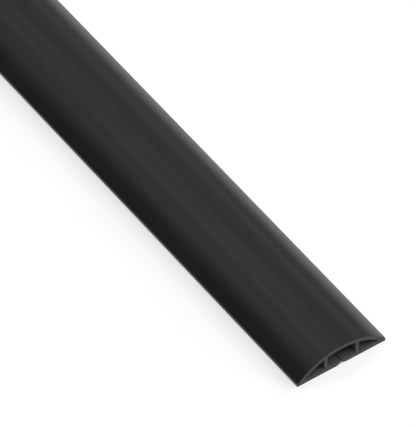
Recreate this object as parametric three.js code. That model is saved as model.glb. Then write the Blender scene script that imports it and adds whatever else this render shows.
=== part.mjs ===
// Floor cord cover: one length of soft black extrusion that lies over a cable on the floor.
// X runs along the stock, Y across it, Z up. The origin is on the floor, under the middle.

import * as THREE from 'three';

// Driving dimensions in millimetres
const length = 1200;
const width = 60;
const height = 14.8;
const edgeHeight = 2;
const crownWall = 2.5;
const baseWall = 2.7;
const ribWall = 2.1;
const cordChannelWidth = 19.2;
const slitWidth = 0.8;
const lipBevelRun = 2.8;
const lipBevelRise = 1.6;
const channelFillet = 0.4;
const edgeFillet = 0.5;
const footFillet = 0.25;
const facetLength = 1.5;

// The crown is one arc over the full width, and its hollow side is concentric with it
const halfWidth = width / 2;
const crownRise = height - edgeHeight;
const crownRadius = (halfWidth ** 2 + crownRise ** 2) / (2 * crownRise);
const crownCentreZ = height - crownRadius;
const ceilingRadius = crownRadius - crownWall;

const halfCordChannel = cordChannelWidth / 2;
const ribOuterFace = halfCordChannel + ribWall;
const halfSlit = slitWidth / 2;
const quarterTurn = Math.PI / 2;

// Points on an arc, from the start angle to the end angle, no further apart than a facet
function arc(centreY, centreZ, radius, start, end) {
  const fewestSteps = 4;
  const steps = Math.max(fewestSteps, Math.ceil(Math.abs(end - start) * radius / facetLength));
  const points = [];
  for (let step = 0; step <= steps; step += 1) {
    const angle = start + (end - start) * step / steps;
    points.push(new THREE.Vector2(
      centreY + radius * Math.cos(angle),
      centreZ + radius * Math.sin(angle),
    ));
  }
  return points;
}

// Centre of a fillet that touches the inside of a crown circle, where its Y or its Z is known
function filletOnCircleAtY(circleRadius, fillet, y) {
  const reach = circleRadius - fillet;
  return new THREE.Vector2(y, crownCentreZ + Math.sqrt(reach ** 2 - y ** 2));
}

function filletOnCircleAtZ(circleRadius, fillet, z) {
  const reach = circleRadius - fillet;
  return new THREE.Vector2(Math.sqrt(reach ** 2 - (z - crownCentreZ) ** 2), z);
}

// The direction from the middle of the crown circle to a point
function crownAngle(point) {
  return Math.atan2(point.y - crownCentreZ, point.x);
}

function mirrored(points) {
  return points.map((point) => new THREE.Vector2(-point.x, point.y)).reverse();
}

// Right half of the outside, from the slit round under the flange, up the edge and to the top
function rightOutside() {
  const edgeCentre = filletOnCircleAtY(crownRadius, edgeFillet, halfWidth - edgeFillet);
  const footCentreY = halfWidth - footFillet;
  return [
    new THREE.Vector2(halfSlit, lipBevelRise),
    new THREE.Vector2(halfSlit + lipBevelRun, 0),
    ...arc(footCentreY, footFillet, footFillet, -quarterTurn, 0),
    ...arc(edgeCentre.x, edgeCentre.y, edgeFillet, 0, crownAngle(edgeCentre)),
    ...arc(0, crownCentreZ, crownRadius, crownAngle(edgeCentre), quarterTurn),
  ];
}

// Right half of the cord channel, from its top down to the lip at the slit
function rightCordChannel() {
  const sideY = halfCordChannel - channelFillet;
  const topCentre = filletOnCircleAtY(ceilingRadius, channelFillet, sideY);
  const floorZ = baseWall + channelFillet;
  return [
    ...arc(0, crownCentreZ, ceilingRadius, quarterTurn, crownAngle(topCentre)),
    ...arc(topCentre.x, topCentre.y, channelFillet, crownAngle(topCentre), 0),
    ...arc(sideY, floorZ, channelFillet, 0, -quarterTurn),
    new THREE.Vector2(halfSlit, baseWall),
  ];
}

// The closed channel between the right rib, the flange and the crown
function rightSideChannel() {
  const ribY = ribOuterFace + channelFillet;
  const floorZ = baseWall + channelFillet;
  const topCentre = filletOnCircleAtY(ceilingRadius, channelFillet, ribY);
  const tipCentre = filletOnCircleAtZ(ceilingRadius, channelFillet, floorZ);
  return [
    ...arc(ribY, floorZ, channelFillet, -2 * quarterTurn, -quarterTurn),
    ...arc(tipCentre.x, tipCentre.y, channelFillet, -quarterTurn, crownAngle(tipCentre)),
    ...arc(0, crownCentreZ, ceilingRadius, crownAngle(tipCentre), crownAngle(topCentre)),
    ...arc(topCentre.x, topCentre.y, channelFillet, crownAngle(topCentre), 2 * quarterTurn),
  ];
}

// Leaves out a point that repeats the one before it, as where two arcs meet
function withoutRepeats(points) {
  const nearest = 1e-6;
  return points.filter((point, index) => {
    const before = points[(index + points.length - 1) % points.length];
    return point.distanceTo(before) > nearest;
  });
}

// The slit joins the cord channel to the outside, so both are one outline
function coverSection() {
  const outside = rightOutside();
  const channel = rightCordChannel();
  const outline = [...outside, ...mirrored(outside), ...mirrored(channel), ...channel];
  const section = new THREE.Shape(withoutRepeats(outline));
  const sideChannel = rightSideChannel();
  section.holes.push(new THREE.Path(withoutRepeats(sideChannel)));
  section.holes.push(new THREE.Path(withoutRepeats(mirrored(sideChannel))));
  return section;
}

// Soft black plastic, satin from the die
function coverMaterial() {
  return new THREE.MeshStandardMaterial({ color: 0x2b2b2c, roughness: 0.55, metalness: 0 });
}

// The section is drawn flat, then turned so that its depth runs along X
function coverMesh() {
  const geometry = new THREE.ExtrudeGeometry(coverSection(), {
    depth: length,
    steps: 1,
    bevelEnabled: false,
  });
  const mesh = new THREE.Mesh(geometry, coverMaterial());
  mesh.name = 'cord_cover';
  mesh.rotation.set(quarterTurn, quarterTurn, 0);
  mesh.position.x = -length / 2;
  return mesh;
}

const part = new THREE.Group();
part.add(coverMesh());

export default part;
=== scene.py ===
# %% [markdown]
# A floor cord cover, dressed for its picture.
# The real thing is one length of soft black PVC that is pushed through a die and cut square.
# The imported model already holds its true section, so this script gives it a fine surface,
# a finish, a floor to lie on and a soft studio round it. Everything is in metres.

# %% Load the frame
import math

import bpy
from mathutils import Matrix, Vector


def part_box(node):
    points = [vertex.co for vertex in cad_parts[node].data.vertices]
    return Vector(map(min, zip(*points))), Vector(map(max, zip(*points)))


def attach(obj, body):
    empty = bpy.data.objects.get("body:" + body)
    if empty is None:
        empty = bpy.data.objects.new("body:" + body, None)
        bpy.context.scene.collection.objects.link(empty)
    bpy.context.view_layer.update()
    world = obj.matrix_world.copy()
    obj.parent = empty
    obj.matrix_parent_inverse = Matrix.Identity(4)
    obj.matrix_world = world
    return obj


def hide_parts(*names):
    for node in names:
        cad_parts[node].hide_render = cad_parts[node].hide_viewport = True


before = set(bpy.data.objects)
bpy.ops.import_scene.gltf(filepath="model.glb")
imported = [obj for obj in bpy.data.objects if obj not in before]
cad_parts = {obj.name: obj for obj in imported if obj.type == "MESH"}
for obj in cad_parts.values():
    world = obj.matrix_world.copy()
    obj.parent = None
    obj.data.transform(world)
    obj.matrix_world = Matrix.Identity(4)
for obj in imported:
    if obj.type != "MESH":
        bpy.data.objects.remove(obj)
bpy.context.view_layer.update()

MM = 0.001
NODE = "cord_cover"
low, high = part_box(NODE)
LENGTH = high.x - low.x
WIDTH = high.y - low.y
HEIGHT = high.z - low.z
print("cover, millimetres:", [round(size / MM, 2) for size in (LENGTH, WIDTH, HEIGHT)])

# %% [markdown]
# The camera comes first, because the picture fixes it. The photograph was taken with a very
# long lens: the cover's two edges run almost parallel. A place for the camera is easiest to
# say from something that shows well, so it is given from the near left corner of the foot.

# %% Camera
UPWARDS = Vector((0, 0, 1))
CAMERA_AZIMUTH = -35.176
CAMERA_ELEVATION = 47.146
CAMERA_LENS_MM = 503.6
CAMERA_SENSOR_MM = 36
CAMERA_SIGHT = 200
CORNER_AWAY = 3274.4 * MM
CORNER_RIGHT_OF_CENTRE = 49.14 * MM
CORNER_BELOW_CENTRE = 95.72 * MM


def towards(azimuth, elevation):
    """A direction from two angles in degrees. Azimuth 0 is +X and 90 is +Y."""
    around, up = math.radians(azimuth), math.radians(elevation)
    return Vector((math.cos(around) * math.cos(up), math.sin(around) * math.cos(up), math.sin(up)))


TOWARDS_CAMERA = towards(CAMERA_AZIMUTH, CAMERA_ELEVATION)


def make_camera():
    corner = Vector((high.x, low.y, low.z))
    right = UPWARDS.cross(TOWARDS_CAMERA).normalized()
    up = TOWARDS_CAMERA.cross(right)
    place = corner + TOWARDS_CAMERA * CORNER_AWAY
    place += up * CORNER_BELOW_CENTRE - right * CORNER_RIGHT_OF_CENTRE
    turn = TOWARDS_CAMERA.to_track_quat("Z", "Y").to_euler()
    bpy.ops.object.camera_add(location=place, rotation=turn)
    camera = bpy.context.object
    camera.name = "camera"
    camera.data.lens = CAMERA_LENS_MM
    camera.data.sensor_width = CAMERA_SENSOR_MM
    camera.data.clip_end = CAMERA_SIGHT
    return camera


bpy.context.scene.camera = make_camera()
print("camera at", [round(value, 3) for value in bpy.context.scene.camera.location])

# %% [markdown]
# The length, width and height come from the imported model, and the rest of the section is
# given here in the same sizes as there. The crown is one arc over the full width, with its
# centre far below the floor, and its hollow side is concentric with it. The stock is made a
# little short at both ends, by the depth of the eased rims that are added to it later.

# %% Section sizes
EDGE_HEIGHT = 2 * MM
CROWN_WALL = 2.5 * MM
BASE_WALL = 2.7 * MM
RIB_WALL = 2.1 * MM
CORD_CHANNEL_WIDTH = 19.2 * MM
SLIT_WIDTH = 0.8 * MM
LIP_BEVEL_RUN = 2.8 * MM
LIP_BEVEL_RISE = 1.6 * MM
CHANNEL_FILLET = 0.4 * MM
EDGE_FILLET = 0.5 * MM
FOOT_FILLET = 0.25 * MM
CUT_EASE = 0.1 * MM

HALF_WIDTH = WIDTH / 2
CROWN_RISE = HEIGHT - EDGE_HEIGHT
CROWN_RADIUS = (HALF_WIDTH ** 2 + CROWN_RISE ** 2) / (2 * CROWN_RISE)
CROWN_CENTRE_Z = HEIGHT - CROWN_RADIUS
CEILING_RADIUS = CROWN_RADIUS - CROWN_WALL
HALF_CHANNEL = CORD_CHANNEL_WIDTH / 2
RIB_OUTER_FACE = HALF_CHANNEL + RIB_WALL
HALF_SLIT = SLIT_WIDTH / 2
QUARTER = math.pi / 2
FIRST_X = low.x + CUT_EASE
print("crown radius, millimetres:", round(CROWN_RADIUS / MM, 2))

# %% [markdown]
# The section is drawn as a draughtsman would draw it, with one vertex that is pulled along
# straight lines and spun round arcs. A boolean cut would also do, but it leaves slivers
# where a fillet meets a long arc, and here every arc runs into the next exactly. The vertex
# comes from a small plane that is merged to its centre, because Blender has no primitive of
# one vertex.


# %% A pen
class Pen:
    """One vertex of a new mesh at the far end of the stock, which draws as it is moved."""

    FACET = 0.6 * MM
    FACET_TURN = math.radians(12)

    def __init__(self, y, z):
        bpy.ops.object.select_all(action="DESELECT")
        bpy.ops.mesh.primitive_plane_add(size=MM, location=(0, 0, 0))
        self.thing = bpy.context.object
        bpy.ops.object.mode_set(mode="EDIT")
        bpy.ops.mesh.merge(type="CENTER")
        bpy.ops.transform.translate(value=(FIRST_X, y, z))
        self.y, self.z = y, z

    def line(self, y, z):
        step = (0, y - self.y, z - self.z)
        bpy.ops.mesh.extrude_region_move(TRANSFORM_OT_translate={"value": step})
        self.y, self.z = y, z

    def arc(self, centre_y, centre_z, end_angle):
        """Spins to the angle, counted from +Y towards +Z, by the shorter way."""
        radius = math.hypot(self.y - centre_y, self.z - centre_z)
        start_angle = math.atan2(self.z - centre_z, self.y - centre_y)
        turn = math.remainder(end_angle - start_angle, math.tau)
        steps = max(abs(turn) * radius / self.FACET, abs(turn) / self.FACET_TURN)
        centre = (FIRST_X, centre_y, centre_z)
        bpy.ops.mesh.spin(steps=math.ceil(steps), angle=turn, center=centre, axis=(-1, 0, 0))
        self.y = centre_y + radius * math.cos(end_angle)
        self.z = centre_z + radius * math.sin(end_angle)

    def lift(self, name):
        """Ends the drawing and gives back its object."""
        bpy.ops.object.mode_set(mode="OBJECT")
        self.thing.name = name
        return self.thing


print("drawing step, millimetres:", Pen.FACET / MM)


# %% [markdown]
# A fillet has to touch both of the lines that it joins. Where one of them is the crown's
# circle, its centre lies one fillet nearer to the crown's centre, and Pythagoras gives the
# rest. Only the right half is drawn, and the pen visits its corners in order.

# %% Half section
def fillet_beside(circle_radius, fillet, y):
    """Height of a fillet's centre, where it touches the circle from inside at this Y."""
    return CROWN_CENTRE_Z + math.sqrt((circle_radius - fillet) ** 2 - y ** 2)


def fillet_above(circle_radius, fillet, z):
    """Y of a fillet's centre, where it touches the circle from inside at this height."""
    return math.sqrt((circle_radius - fillet) ** 2 - (z - CROWN_CENTRE_Z) ** 2)


def crown_angle(y, z):
    """The direction of a point, seen from the crown's centre."""
    return math.atan2(z - CROWN_CENTRE_Z, y)


def draw_wall():
    """From the top of the crown round the edge, foot and lip, and back up the cord channel."""
    edge_y = HALF_WIDTH - EDGE_FILLET
    edge_z = fillet_beside(CROWN_RADIUS, EDGE_FILLET, edge_y)
    side_y = HALF_CHANNEL - CHANNEL_FILLET
    top_z = fillet_beside(CEILING_RADIUS, CHANNEL_FILLET, side_y)
    floor_z = BASE_WALL + CHANNEL_FILLET

    pen = Pen(0, HEIGHT)
    pen.arc(0, CROWN_CENTRE_Z, crown_angle(edge_y, edge_z))
    pen.arc(edge_y, edge_z, 0)
    pen.line(HALF_WIDTH, FOOT_FILLET)
    pen.arc(HALF_WIDTH - FOOT_FILLET, FOOT_FILLET, -QUARTER)
    pen.line(HALF_SLIT + LIP_BEVEL_RUN, 0)
    pen.line(HALF_SLIT, LIP_BEVEL_RISE)
    pen.line(HALF_SLIT, BASE_WALL)
    pen.line(side_y, BASE_WALL)
    pen.arc(side_y, floor_z, 0)
    pen.line(HALF_CHANNEL, top_z)
    pen.arc(side_y, top_z, crown_angle(side_y, top_z))
    pen.arc(0, CROWN_CENTRE_Z, QUARTER)
    return pen.lift("cord_cover_stock")


def draw_side_channel():
    """The closed hollow between the rib, the flange and the crown."""
    rib_y = RIB_OUTER_FACE + CHANNEL_FILLET
    floor_z = BASE_WALL + CHANNEL_FILLET
    top_z = fillet_beside(CEILING_RADIUS, CHANNEL_FILLET, rib_y)
    tip_y = fillet_above(CEILING_RADIUS, CHANNEL_FILLET, floor_z)

    pen = Pen(rib_y, BASE_WALL)
    pen.line(tip_y, BASE_WALL)
    pen.arc(tip_y, floor_z, crown_angle(tip_y, floor_z))
    pen.arc(0, CROWN_CENTRE_Z, crown_angle(rib_y, top_z))
    pen.arc(rib_y, top_z, 2 * QUARTER)
    pen.line(RIB_OUTER_FACE, floor_z)
    pen.arc(rib_y, floor_z, -QUARTER)
    return pen.lift("side_channel_outline")


cover = draw_wall()
side_channel = draw_side_channel()
print("half outline vertices:", len(cover.data.vertices), "and", len(side_channel.data.vertices))


# %% [markdown]
# The two outlines are joined and mirrored, and the ring between them is filled. The die then
# does its work: the flat section is extruded along X in even steps. An operator acts on all
# that is selected, so a small helper keeps the selection to what is meant.

# %% Stock
EXTRUSION_STEPS = 24
NEAR_ENOUGH = 0.001 * MM


def only(*objects):
    """Leaves just these objects selected, the first of them active."""
    bpy.ops.object.select_all(action="DESELECT")
    for thing in objects:
        thing.select_set(True)
    bpy.context.view_layer.objects.active = objects[0]


def mirror_across():
    """Makes the left half from the right one and merges them where they meet."""
    mirror = cover.modifiers.new("left_half", "MIRROR")
    mirror.use_axis = (False, True, False)
    mirror.merge_threshold = NEAR_ENOUGH
    bpy.ops.object.modifier_apply(modifier=mirror.name)


def make_stock():
    only(cover, side_channel)
    bpy.ops.object.join()
    mirror_across()
    bpy.ops.object.mode_set(mode="EDIT")
    bpy.ops.mesh.select_all(action="SELECT")
    bpy.ops.mesh.remove_doubles(threshold=NEAR_ENOUGH)
    bpy.ops.mesh.fill(use_beauty=True)
    bpy.ops.mesh.select_all(action="SELECT")
    step = ((LENGTH - 2 * CUT_EASE) / EXTRUSION_STEPS, 0, 0)
    for _ in range(EXTRUSION_STEPS):
        bpy.ops.mesh.extrude_region_move(TRANSFORM_OT_translate={"value": step})
    bpy.ops.mesh.select_all(action="SELECT")
    bpy.ops.mesh.normals_make_consistent(inside=False)
    bpy.ops.object.mode_set(mode="OBJECT")


make_stock()
print("stock faces:", len(cover.data.polygons))

# %% [markdown]
# A saw leaves a crisp edge that soon rubs off, so the rims of both cut ends are eased by a
# tenth of a millimetre. A bevel is the usual tool, but it shrinks where it would overlap, and
# the fillets have edges of a twentieth of a millimetre, so it would come to next to nothing.
# Here the cap is taken off instead. That leaves its rim as the only open edge, which is
# extruded in two short steps and drawn in a little more each time, as along a quarter of a
# circle, and a new cap is filled in. Smooth shading stops at 18 degrees. An arc turns by 12
# at most from facet to facet and looks round. Every corner of the section turns by 29 or more
# and an eased rim by 22, so they stay crisp and don't bend the sheen of the crown.

# %% Eased ends
EASE_STEPS = 2
SMOOTH_BELOW = math.radians(18)


def select_cap(x):
    """Selects the faces that lie in the plane across the stock at this X."""
    mesh = cover.data
    bpy.ops.object.mode_set(mode="EDIT")
    bpy.ops.mesh.select_mode(type="FACE")
    bpy.ops.mesh.select_all(action="DESELECT")
    bpy.ops.object.mode_set(mode="OBJECT")
    for face in mesh.polygons:
        corners = [mesh.vertices[index].co for index in face.vertices]
        face.select = all(abs(corner.x - x) < NEAR_ENOUGH for corner in corners)


def ease_end(cap_x, outwards):
    """Rounds the rim of one cap over. Outwards is 1 towards +X and -1 towards -X."""
    select_cap(cap_x)
    bpy.ops.object.mode_set(mode="EDIT")
    bpy.ops.mesh.delete(type="FACE")
    bpy.ops.mesh.select_mode(type="EDGE")
    bpy.ops.mesh.select_non_manifold()
    turn = QUARTER / EASE_STEPS
    for number in range(EASE_STEPS):
        before, after = turn * number, turn * (number + 1)
        along = CUT_EASE * (math.sin(after) - math.sin(before)) * outwards
        inwards = CUT_EASE * (math.cos(before) - math.cos(after))
        bpy.ops.mesh.extrude_region_move(TRANSFORM_OT_translate={"value": (along, 0, 0)})
        bpy.ops.transform.shrink_fatten(value=-inwards, use_even_offset=True)
    bpy.ops.mesh.fill(use_beauty=True)
    bpy.ops.mesh.select_all(action="SELECT")
    bpy.ops.mesh.normals_make_consistent(inside=False)
    bpy.ops.mesh.select_all(action="DESELECT")
    bpy.ops.object.mode_set(mode="OBJECT")


ease_end(FIRST_X, outwards=-1)
ease_end(high.x - CUT_EASE, outwards=1)
only(cover)
bpy.ops.object.shade_smooth_by_angle(angle=SMOOTH_BELOW)
print("cover faces:", len(cover.data.polygons))

# %% [markdown]
# Shader maths is easier to read as sums than as boxes and wires. This class wraps a socket,
# so that an expression such as 1 - mask adds the Math node that works it out, and any other
# node comes from its one method.


# %% Sums on sockets
class Wire:
    def __init__(self, tree, socket=None):
        self.tree = tree
        self.socket = socket

    def node(self, kind, settings=None, inputs=None, output=0):
        """A new node: its settings first, then its sockets, by value or by wire."""
        made = self.tree.nodes.new(kind)
        for name, value in (settings or {}).items():
            setattr(made, name, value)
        for name, value in (inputs or {}).items():
            if isinstance(value, Wire):
                self.tree.links.new(value.socket, made.inputs[name])
            else:
                made.inputs[name].default_value = value
        return Wire(self.tree, made.outputs[output])

    def math(self, operation, *values):
        inputs = dict(enumerate(values))
        return self.node("ShaderNodeMath", {"operation": operation}, inputs)

    def __add__(self, other):
        return self.math("ADD", self, other)

    def __mul__(self, other):
        return self.math("MULTIPLY", self, other)

    def __sub__(self, other):
        return self.math("SUBTRACT", self, other)

    def __rsub__(self, other):
        return self.math("SUBTRACT", other, self)

    def above(self, limit):
        return self.math("GREATER_THAN", self, limit)

    def size(self):
        return self.math("ABSOLUTE", self)

    def noise(self, scale, detail=2):
        """Soft noise from 0 to 1, with its own scale along each axis, in cells a metre."""
        stretched = self.node("ShaderNodeMapping", None, {"Vector": self, "Scale": scale})
        cells = {"Vector": stretched, "Scale": 1.0, "Detail": detail}
        return self.node("ShaderNodeTexNoise", None, cells)

    __radd__ = __add__
    __rmul__ = __mul__


# The Mix node has its sockets once for each data type, so those for colour go by number
MIX_FACTOR = 0
MIX_FIRST_COLOUR = 6
MIX_SECOND_COLOUR = 7
MIX_COLOUR = 2


def blend(amount, first, second):
    """A colour between two, by a wire from 0 to 1."""
    inputs = {MIX_FACTOR: amount, MIX_FIRST_COLOUR: first, MIX_SECOND_COLOUR: second}
    return amount.node("ShaderNodeMix", {"data_type": "RGBA"}, inputs, output=MIX_COLOUR)


print("operators on sockets: + * - and above, size, noise")

# %% [markdown]
# The finish is satin black PVC, as it comes from the die. Three things break up its gloss:
# fine lines that the die draws along the stock, a grain from the soft plastic itself, and a
# slow drift of colour and gloss along the length. The lines and the grain are a few
# thousandths of a millimetre deep. PVC has a refractive index of 1.53. The surface is finer
# than any bump can draw and scatters part of its gloss, so the specular level is turned down
# from the usual 0.5. The sawn ends are duller, with the saw's faint marks across them, and
# they are painted about twice as light as the sides: painted light on the ends. The channels
# are formed round cores inside the die. Their walls are matt and painted a lighter grey,
# which is painted light for the light that reaches into them. A wall belongs to a channel if
# it lies above the flanges and within the ceiling's circle.

# %% Finish
PVC_BLACK = (0.0108, 0.0108, 0.0108, 1)
PVC_SHEEN_DRIFT = (0.0122, 0.0122, 0.0122, 1)
# Painted light: the sawn ends are about twice as light as the sides, for the light on them
SAWN_BLACK_WITH_PAINTED_LIGHT = (0.0215, 0.0215, 0.0215, 1)
# Painted light: the channel walls are lighter, for the light that reaches into the channels
CHANNEL_PAINTED_LIGHT_GREY = (0.054, 0.054, 0.054, 1)
PVC_ROUGHNESS = 0.34
SAWN_ROUGHNESS = 0.50
CHANNEL_ROUGHNESS = 0.60
DRIFT_SWING = 0.06
DIE_LINE_SWING = 0.06
DIE_LINES_A_METRE = (1.5, 1400, 1400)
GRAIN_A_METRE = (3500, 3500, 3500)
DRIFT_A_METRE = (9, 30, 30)
SAW_MARKS_A_METRE = (100, 260, 2600)
STREAK_DETAIL = 3
GRAIN_DETAIL = 1
DIE_LINE_DEPTH = 0.004 * MM
GRAIN_DEPTH = 0.004 * MM
SAW_MARK_DEPTH = 0.03 * MM
CHANNEL_MARGIN = 0.05 * MM
PVC_IOR = 1.53
PVC_SPECULAR_LEVEL = 0.33
NOISE_MIDDLE = 0.5


def channel_mask(place):
    """1 on the walls of the three channels, and 0 outside them."""
    height = place.node("ShaderNodeSeparateXYZ", None, {"Vector": place}, output="Z")
    across = place.node("ShaderNodeSeparateXYZ", None, {"Vector": place}, output="Y")
    rise = height - CROWN_CENTRE_Z
    radius = place.math("SQRT", across * across + rise * rise)
    inside_ceiling = 1 - radius.above(CEILING_RADIUS + CHANNEL_MARGIN)
    return inside_ceiling * height.above(BASE_WALL - CHANNEL_MARGIN)


def satin_pvc():
    material = bpy.data.materials.new("satin_black_pvc")
    material.use_nodes = True
    tree = material.node_tree
    shader = tree.nodes["Principled BSDF"]
    place = Wire(tree).node("ShaderNodeTexCoord", output="Object")
    along = place.node("ShaderNodeSeparateXYZ", None, {"Vector": place}, output="X")

    sawn = along.size().above(LENGTH / 2 - NEAR_ENOUGH)
    channel = channel_mask(place)
    die_lines = place.noise(DIE_LINES_A_METRE, STREAK_DETAIL)
    grain = place.noise(GRAIN_A_METRE, GRAIN_DETAIL)
    drift = place.noise(DRIFT_A_METRE)
    saw_marks = place.noise(SAW_MARKS_A_METRE, STREAK_DETAIL)

    # The channel walls take a lighter grey here, which is painted light
    wall_colour = blend(channel, blend(drift, PVC_BLACK, PVC_SHEEN_DRIFT), CHANNEL_PAINTED_LIGHT_GREY)
    # The sawn ends take a lighter black here, which is painted light
    colour = blend(sawn, wall_colour, SAWN_BLACK_WITH_PAINTED_LIGHT)
    drift_swing = (drift - NOISE_MIDDLE) * DRIFT_SWING
    die_line_swing = (die_lines - NOISE_MIDDLE) * DIE_LINE_SWING
    outside_roughness = PVC_ROUGHNESS + (drift_swing + die_line_swing)
    wall_roughness = outside_roughness + channel * (CHANNEL_ROUGHNESS - PVC_ROUGHNESS)
    roughness = wall_roughness * (1 - sawn) + sawn * SAWN_ROUGHNESS
    wall_relief = die_lines * DIE_LINE_DEPTH + grain * GRAIN_DEPTH
    relief = wall_relief * (1 - sawn) + saw_marks * sawn * SAW_MARK_DEPTH
    relief_in_metres = {"Strength": 1.0, "Distance": 1.0, "Height": relief}
    bump = place.node("ShaderNodeBump", None, relief_in_metres)

    tree.links.new(colour.socket, shader.inputs["Base Color"])
    tree.links.new(roughness.socket, shader.inputs["Roughness"])
    tree.links.new(bump.socket, shader.inputs["Normal"])
    shader.inputs["IOR"].default_value = PVC_IOR
    shader.inputs["Specular IOR Level"].default_value = PVC_SPECULAR_LEVEL
    return material


cover.data.materials.clear()
cover.data.materials.append(satin_pvc())
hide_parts(NODE)
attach(cover, "root")
print("finish:", cover.data.materials[0].name)

# %% [markdown]
# The studio is as plain as the picture: a white floor that runs out of sight and large soft
# lights. The shadow says where they stand. It lies beside the left flank, fades out within
# two centimetres and turns a little way round the near corner, so one light shines across the
# cover from the right, about 27 degrees up, and a lower, broader one from the right in front.
# Two high ones, from the near end and the left, fill the shadow in. Together they light the
# floor to full white, and the crown mirrors it at a grazing angle, as the bright strip along
# the right flank.

# %% Floor
FLOOR_SIZE = 160
FLOOR_DROP = 0.05 * MM
FLOOR_WHITE = (0.97, 0.97, 0.97, 1)
FLOOR_ROUGHNESS = 1.0
FLOOR_SPECULAR_LEVEL = 0.0


def make_floor():
    bpy.ops.object.select_all(action="DESELECT")
    bpy.ops.mesh.primitive_plane_add(size=FLOOR_SIZE, location=(0, 0, low.z - FLOOR_DROP))
    floor = bpy.context.object
    floor.name = "studio_floor"
    bpy.ops.object.transform_apply(location=True, rotation=True, scale=True)
    material = bpy.data.materials.new("white_floor")
    material.use_nodes = True
    shader = material.node_tree.nodes["Principled BSDF"]
    shader.inputs["Base Color"].default_value = FLOOR_WHITE
    shader.inputs["Roughness"].default_value = FLOOR_ROUGHNESS
    shader.inputs["Specular IOR Level"].default_value = FLOOR_SPECULAR_LEVEL
    floor.data.materials.append(material)


make_floor()
print("floor, metres across:", FLOOR_SIZE)

# %% [markdown]
# A black satin surface shows its lights more than its own colour, so its sheen is drawn with
# lights. The crown leans a little further to the right at each step across, and the law of
# reflection gives the direction that the camera sees there. Seven weak lights stand in such
# directions, where the picture shows grey sheen, and add little to the floor. None stands
# where the lower left flank looks, so it stays the darkest. A sun lamp with a wide angle acts
# as a softbox that is equally far from both ends of a long piece.

# %% Lights
SKY_WHITE = (1, 1, 1, 1)
SKY_STRENGTH = 0.02
LIGHT_AWAY = 3

# A softbox's name, its azimuth, elevation and width across in degrees, and its strength
SOFTBOXES = (
    ("low_softbox", 40, 14, 28, 1.40),
    ("right_softbox", 90, 27, 22, 0.76),
    ("front_softbox", 0, 66, 34, 1.59),
    ("left_softbox", 300, 66, 34, 0.88),
)

# The crown's lean to the right in degrees, where a sheen light is mirrored, and its strength
SHEEN_ACROSS = 12
SHEEN_LIGHTS = (
    (-28, 0.040),
    (-23, 0.065),
    (-13, 0.101),
    (-3, 0.086),
    (7, 0.042),
    (17, 0.042),
    (20, 0.012),
)


def mirrored_by_crown(lean):
    """The direction that the camera sees in the crown, where it leans so far to the right."""
    turn = math.radians(lean)
    normal = Vector((0, math.sin(turn), math.cos(turn)))
    return 2 * normal.dot(TOWARDS_CAMERA) * normal - TOWARDS_CAMERA


def make_softbox(name, direction, across, strength):
    """A sun lamp as wide as a softbox, which shines from its direction."""
    turn = direction.to_track_quat("Z", "Y").to_euler()
    bpy.ops.object.light_add(type="SUN", location=direction * LIGHT_AWAY, rotation=turn)
    softbox = bpy.context.object
    softbox.name = name
    softbox.data.angle = math.radians(across)
    softbox.data.energy = strength


def make_sky(strength):
    world = bpy.data.worlds.new("studio_sky")
    world.use_nodes = True
    background = world.node_tree.nodes["Background"]
    background.inputs["Color"].default_value = SKY_WHITE
    background.inputs["Strength"].default_value = strength
    bpy.context.scene.world = world


make_sky(SKY_STRENGTH)
for name, azimuth, elevation, across, strength in SOFTBOXES:
    make_softbox(name, towards(azimuth, elevation), across, strength)
for number, (lean, strength) in enumerate(SHEEN_LIGHTS, start=1):
    make_softbox(f"sheen_softbox_{number}", mirrored_by_crown(lean), SHEEN_ACROSS, strength)
bpy.context.scene.view_settings.view_transform = "Standard"
